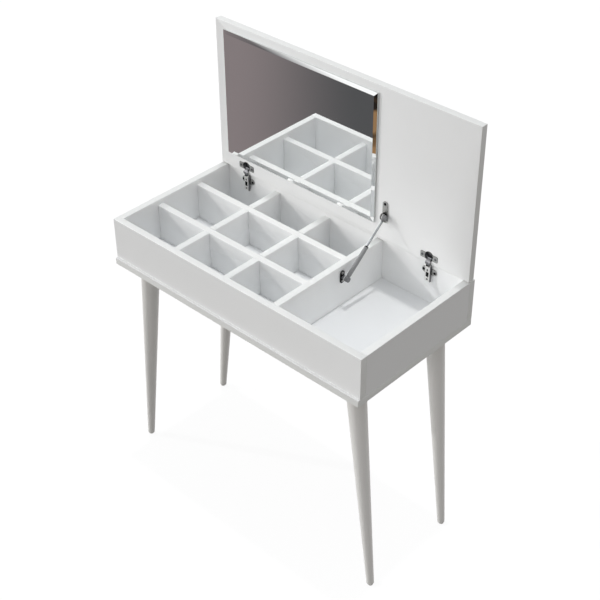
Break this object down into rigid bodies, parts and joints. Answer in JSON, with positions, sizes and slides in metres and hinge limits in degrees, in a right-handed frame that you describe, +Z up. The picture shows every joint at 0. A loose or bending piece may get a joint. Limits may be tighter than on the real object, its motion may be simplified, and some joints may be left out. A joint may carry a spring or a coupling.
{
  "type": "flip-top vanity table",
  "caption": "Flip-top vanity table: divided box on splayed tapered legs, hinged lid with bevelled mirror and gas strut, shown open.",
  "frame": {"origin": "on the floor, midway between the four feet", "axes": "+X to the sitter's right as seen from the front, +Y to the back, +Z up; the lid stands open"},
  "size_m": [0.8258, 0.4, 1.1424],
  "materials": {
    "white_melamine": "white melamine-faced chipboard, fine satin",
    "white_lacquer": "white satin lacquer on turned wood",
    "silvered_glass": "silvered float glass with ground bevels",
    "foam_tape": "double-sided mounting foam",
    "nickel_steel": "nickel plated pressed steel",
    "zinc_steel": "zinc plated steel",
    "grey_paint": "satin grey paint on steel tube",
    "hard_chromium": "polished piston rod",
    "grey_nylon": "moulded glass-filled nylon",
    "white_nylon": "moulded nylon glide"
  },
  "bodies": {
    "root": {"bottom_panel": "white_melamine", "front_panel": "white_melamine", "back_panel": "white_melamine", "left_side_panel": "white_melamine", "right_side_panel": "white_melamine", "left_divider": "white_melamine", "middle_divider": "white_melamine", "compartment_wall": "white_melamine", "front_cross_divider": "white_melamine", "rear_cross_divider": "white_melamine", "front_left_leg_plate": "zinc_steel", "front_left_leg": "white_lacquer", "front_left_leg_bolt": "zinc_steel", "front_left_foot_glide": "white_nylon", "front_right_leg_plate": "zinc_steel", "front_right_leg": "white_lacquer", "front_right_leg_bolt": "zinc_steel", "front_right_foot_glide": "white_nylon", "rear_left_leg_plate": "zinc_steel", "rear_left_leg": "white_lacquer", "rear_left_leg_bolt": "zinc_steel", "rear_left_foot_glide": "white_nylon", "rear_right_leg_plate": "zinc_steel", "rear_right_leg": "white_lacquer", "rear_right_leg_bolt": "zinc_steel", "rear_right_foot_glide": "white_nylon", "left_hinge_arm": "nickel_steel", "left_hinge_plate": "nickel_steel", "left_hinge_arm_pin": "zinc_steel", "right_hinge_arm": "nickel_steel", "right_hinge_plate": "nickel_steel", "right_hinge_arm_pin": "zinc_steel", "strut_wall_bracket": "nickel_steel"},
    "left_link": {"left_hinge_link": "nickel_steel"},
    "right_link": {"right_hinge_link": "nickel_steel"},
    "lid": {"lid_panel": "white_melamine", "mirror_tape": "foam_tape", "mirror_glass": "silvered_glass", "left_hinge_cup": "nickel_steel", "left_hinge_cup_pin": "zinc_steel", "right_hinge_cup": "nickel_steel", "right_hinge_cup_pin": "zinc_steel", "strut_lid_bracket": "nickel_steel", "strut_top_stud": "zinc_steel"},
    "strut_rod_body": {"strut_rod": "hard_chromium", "strut_top_socket": "grey_nylon"},
    "strut_tube_body": {"strut_tube": "grey_paint", "strut_bottom_socket": "grey_nylon", "strut_bottom_stud": "zinc_steel"}
  },
  "joints": [
    {"name": "left_link_turn", "type": "hinge", "parent": "root", "child": "left_link", "pos_m": [-0.3095, 0.178, 0.734], "axis": [1, 0, 0], "range_deg": [-47.93, 0]},
    {"name": "lid_turn", "type": "hinge", "parent": "left_link", "child": "lid", "pos_m": [-0.3095, 0.18, 0.75412], "axis": [1, 0, 0], "range_deg": [0, 137.93]},
    {"name": "right_link_turn", "type": "hinge", "parent": "root", "child": "right_link", "pos_m": [0.2845, 0.178, 0.734], "axis": [1, 0, 0], "range_deg": [-47.93, 0]},
    {"name": "strut_rod_turn", "type": "hinge", "parent": "lid", "child": "strut_rod_body", "pos_m": [0.157, 0.165, 0.8164], "axis": [1, 0, 0], "range_deg": [-116.94, 0]},
    {"name": "strut_tube_slide", "type": "slide", "parent": "strut_rod_body", "child": "strut_tube_body", "axis": [0, 0.7724, 0.6351], "range_m": [0, 0.069]}
  ],
  "couplings": [
    {"joint": "left_link_turn", "follows": "lid_turn", "ratio": -0.34747},
    {"joint": "right_link_turn", "follows": "lid_turn", "ratio": -0.34747},
    {"joint": "strut_rod_turn", "follows": "lid_turn", "ratio": -0.8478},
    {"joint": "strut_tube_slide", "follows": "lid_turn", "m_per_rad": 0.028644}
  ]
}
